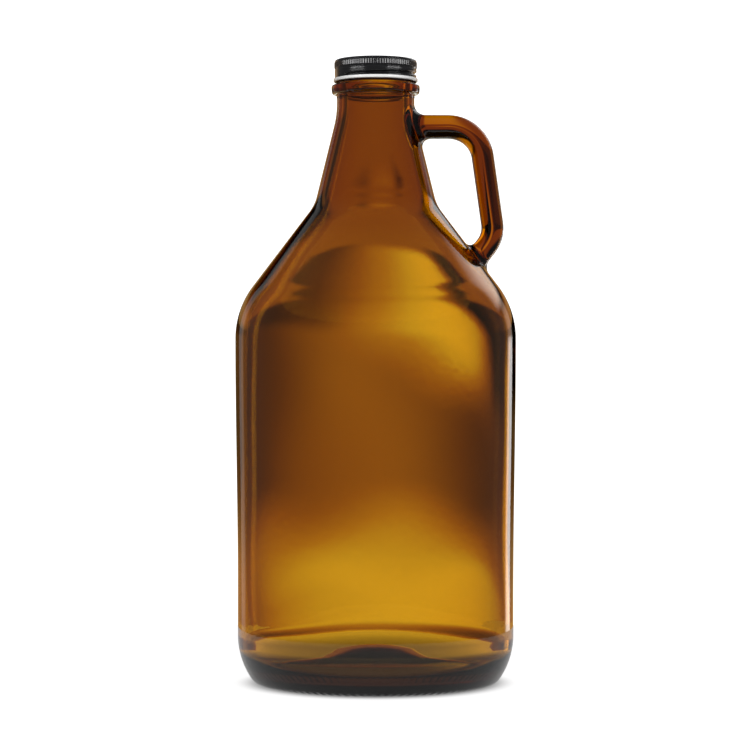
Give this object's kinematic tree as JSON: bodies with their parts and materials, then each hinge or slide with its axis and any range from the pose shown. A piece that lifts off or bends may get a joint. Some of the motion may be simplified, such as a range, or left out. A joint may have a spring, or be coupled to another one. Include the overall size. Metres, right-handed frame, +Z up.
{
  "type": "growler",
  "caption": "Half-gallon amber glass growler with a loop handle at the neck and a black metal screw cap.",
  "frame": {"origin": "on the jug's axis, in the plane of the bearing ring it stands on", "axes": "+Z up along the jug's axis, +X towards the loop handle, +Y away from a viewer who has the handle on their right"},
  "size_m": [0.13, 0.13, 0.2879],
  "materials": {
    "amber_glass": "gloss",
    "black_tinplate": "gloss",
    "pulp_board": "matte",
    "white_film": "satin"
  },
  "bodies": {
    "jug": {"glass_jug": "amber_glass"},
    "liner": {"liner_backing": "pulp_board", "liner_facing": "white_film"},
    "cap": {"cap_shell": "black_tinplate"}
  },
  "joints": [
    {"name": "cap_rise", "type": "slide", "parent": "jug", "child": "liner", "axis": [0, 0, 1], "range_m": [0, 0.01271]},
    {"name": "cap_turn", "type": "hinge", "parent": "liner", "child": "cap", "pos_m": [0, 0, 0.2829], "axis": [0, 0, 1], "range_deg": [0, 1080]}
  ],
  "couplings": [
    {"joint": "cap_rise", "follows": "cap_turn", "m_per_rad": 0.00067376}
  ]
}
